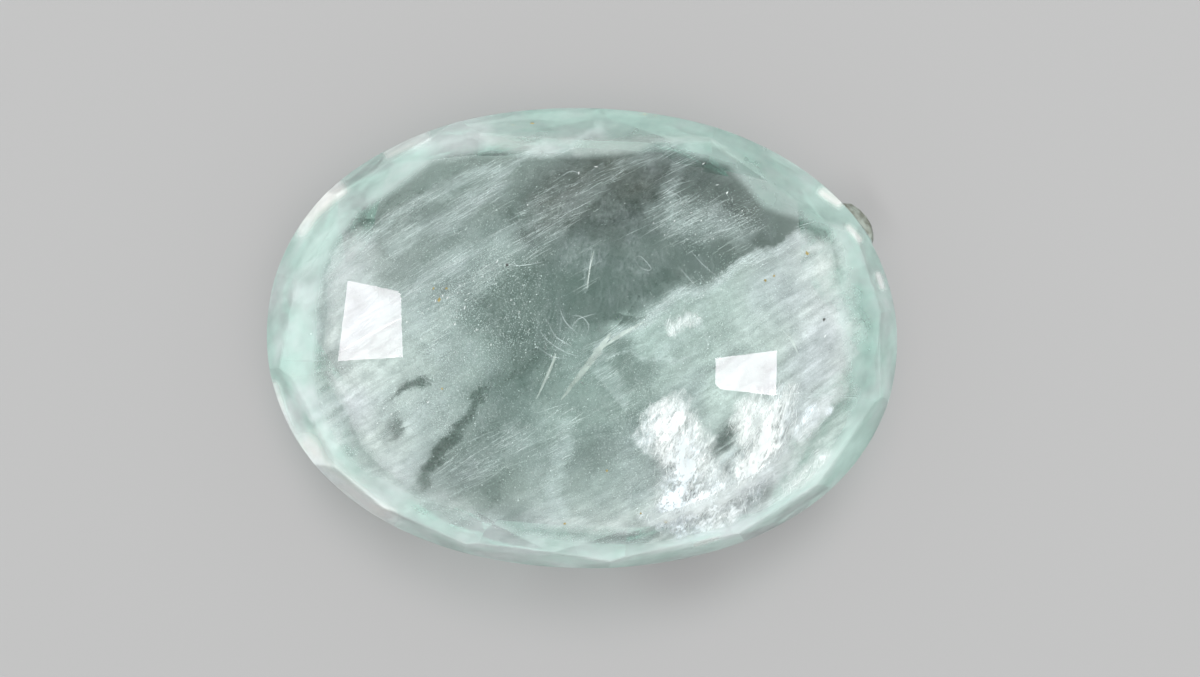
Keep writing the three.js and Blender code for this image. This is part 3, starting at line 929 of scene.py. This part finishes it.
def make_milk():
    milky = veil_material("milk_cloud", (0.92, 0.98, 0.96, 1), (0.9, 0.94, 0.98, 1), GROWTH_ANGLE,
                          (CLOUD, PUFFS, STREAKS, FINE_GRAINS))
    silky = veil_material("growth_veil", (0.8, 0.95, 0.93, 1), (0.84, 0.92, 0.96, 1), GROWTH_ANGLE + 1,
                          (PUFFS, STREAKS, THREADS, FINE_GRAINS))
    feather = veil_material("feather_sheet", (1, 1, 1, 1), (0.86, 0.93, 1, 1), FEATHER_ANGLE,
                            FEATHER_LAYERS, mirror=0.12)
    make_sheet("milk_low", milky, MILK, 0.56, height=2.2, reach=0.97)
    make_sheet("milk_middle", milky, MILK, 0.56, height=3.0, reach=0.97)
    make_sheet("veil_upper", silky, VEILS, 0.46, depth=0.45, step=0.05)
    make_sheet("feather_low", feather, FLASHES, 1.5, depth=1.0, step=0.05)
    make_sheet("feather_high", feather, FLASHES, 1.2, depth=0.4, step=0.05)


# The rim sheets: one is partly haze and partly painted light on the bezel band, the other paints glints;
# neither casts a shadow.
def make_rim():
    smooth = veil_material("rim_haze_and_painted_light", (0.74, 0.98, 0.91, 1), (0.9, 0.98, 0.98, 1), GROWTH_ANGLE,
                           (HAZE,), flatness=0.55, shades=False)
    # A white sheet under the rim facets that paints glints.
    glint_finish = veil_material("rim_painted_glints", (1, 1, 0.96, 1), (0.95, 1, 1, 1), GROWTH_ANGLE, (CLOUD,),
                         shades=False)
    make_rim_sheet("rim_haze_and_painted_light", smooth, RIM_HAZE_AND_PAINTED_LIGHT, 0.72, 0.12)
    make_rim_sheet("rim_painted_glints", glint_finish, RIM_PAINTED_GLINTS, 1, 0.06)


# Painted shade in near-black sheets over the window and in the gaps of the milk, and dark grains in those
# gaps.
def make_painted_shade_and_dark_grains(rng):
    # A near-black sheet that paints shade over the window.
    painted_shade_finish = veil_material("painted_shade_veil", (0.035, 0.05, 0.045, 1), (0.05, 0.055, 0.045, 1), GROWTH_ANGLE,
                          (PUFFS, STREAKS))
    # A faint near-black sheet that paints shade into the spindle-shaped gaps.
    spindle_shade_finish = veil_material("painted_shade_spindle", (0.05, 0.075, 0.065, 1), (0.08, 0.09, 0.08, 1), GROWTH_ANGLE,
                           (MOTTLE, STREAKS))
    make_sheet("painted_shade_low", painted_shade_finish, SHADE, 0.85, height=1.2, gaps=())
    make_sheet("painted_shade_spindles", spindle_shade_finish, SPINDLES, 0.26, depth=1.6, step=0.05, gaps=())
    count = 1800
    px, py = scatter(rng, SPINDLES, count, ())
    along, across = needle_turns(rng, count, GROWTH_ANGLE, 35, 0.3)
    depth = rng.uniform(1.0, 1.6, count)
    murky = flake_material("murky_grain", (0.2, 0.27, 0.24, 1), 0.3, 0.05, 0.5)
    make_flakes("dark_grains", murky, sink(px, py, depth), along, across,
                rng.uniform(0.02, 0.08, count), rng.uniform(0.01, 0.03, count))


def make_dust():
    dusty = veil_material("fine_dust", (0.8, 0.9, 0.86, 1), (0.8, 0.86, 0.92, 1), DUST_ANGLE, DUST_LAYERS)
    make_sheet("dust", dusty, DUST, 0.055, depth=0.7, step=0.08, reach=0.92)


def make_grains(rng, finish):
    count = 42000
    px, py = scatter(rng, GRAINS, count)
    along, across = random_turns(rng, count, 0.8)
    size = rng.uniform(0.01, 0.026, count) * np.where(rng.random(count) < 0.03, 2.0, 1.0)
    depth = rng.uniform(0.15, 1.4, count)
    make_flakes("grain_cloud", finish, sink(px, py, depth), along, across, size, size * 0.7)


def make_needles(rng, finish):
    count = 1600
    px, py = scatter(rng, VEILS, count)
    along, across = needle_turns(rng, count, GROWTH_ANGLE, 5, 0.1)
    depth = rng.uniform(0.2, 1.2, count)
    make_flakes("growth_needles", finish, sink(px, py, depth), along, across,
                rng.uniform(0.1, 1.1, count), rng.uniform(0.003, 0.007, count))


def make_feather_flakes(rng, finish):
    count = 2600
    px, py = scatter(rng, FLASHES, count)
    along, across = needle_turns(rng, count, FEATHER_ANGLE, 20, 0.15)
    depth = rng.uniform(0.15, 0.45, count)
    make_flakes("feather_flakes", finish, sink(px, py, depth), along, across,
                rng.uniform(0.05, 0.4, count), rng.uniform(0.004, 0.012, count))


def make_lines(rng, bright):
    hair = flake_material("hair_white", (0.8, 0.92, 0.92, 1), 0.6, 0.3, 0.4, 0.42)
    make_ribbons("hair_lines", hair, rng, SCRATCHES, [0.013] * len(SCRATCHES), 0.08)
    blade = flake_material("blade_pale", (0.78, 0.88, 0.8, 1), 0.5, 0.3, 0.4, 0.42)
    paths, widths = zip(*BLADES)
    make_ribbons("blades", blade, rng, paths, widths, 0.25)
    make_ribbons("crack_line", bright, rng, [CRACK], [0.03], 0.05)


def make_sparks(rng, finish):
    spots = np.array(SPARKS, float)
    count = len(spots)
    along, across = needle_turns(rng, count, 60, 50, 0.2)
    depth = rng.uniform(0.1, 0.3, count)
    make_flakes("sparks", finish, sink(spots[:, 0], spots[:, 1], depth), along, across,
                rng.uniform(0.03, 0.1, count), rng.uniform(0.014, 0.032, count))


def make_specks(rng):
    rust = flake_material("rust", (0.45, 0.34, 0.1, 1), 0.6, 0.02, 0.6)
    vertices, faces = speck_mesh(rng, RUST, 0.042, 0.1)
    add_piece("rust_specks", vertices, faces, rust)
    dark = flake_material("dark_speck", (0.03, 0.035, 0.03, 1), 0.5, 0.02, 0.5)
    vertices, faces = speck_mesh(rng, DARK, 0.05, 0.1)
    add_piece("dark_specks", vertices, faces, dark)
    make_ribbons("dark_line", dark, rng, [DARK_LINE], [0.03], 0.02)


def make_flaws():
    """All the flaws, and the sheets of painted shade and painted glints; those with random places share
    one generator, so their order matters.
    """
    rng = np.random.default_rng(7)
    make_milk()
    make_rim()
    make_painted_shade_and_dark_grains(rng)
    make_dust()
    white = flake_material("grain_white", (0.86, 0.95, 0.94, 1), 0.6, 0.5, 0.4)
    bright = flake_material("spark_white", (0.98, 1, 1, 1), 0.9, 0.5, 0.25)
    make_grains(rng, white)
    make_needles(rng, white)
    make_feather_flakes(rng, bright)
    make_lines(rng, bright)
    make_sparks(rng, bright)
    make_specks(rng)


# How the picture is developed, and how far light is followed inside the stone.
scene.view_settings.view_transform = "Standard"
scene.cycles.max_bounces = 12
scene.cycles.transmission_bounces = 12
scene.cycles.diffuse_bounces = 3
scene.cycles.glossy_bounces = 6
scene.cycles.transparent_max_bounces = 24
scene.cycles.caustics_refractive = False
scene.cycles.caustics_reflective = False

make_camera()
make_floor()
make_world()
make_lamps()
make_crystal()
measured = measure_stone()
make_flaws()
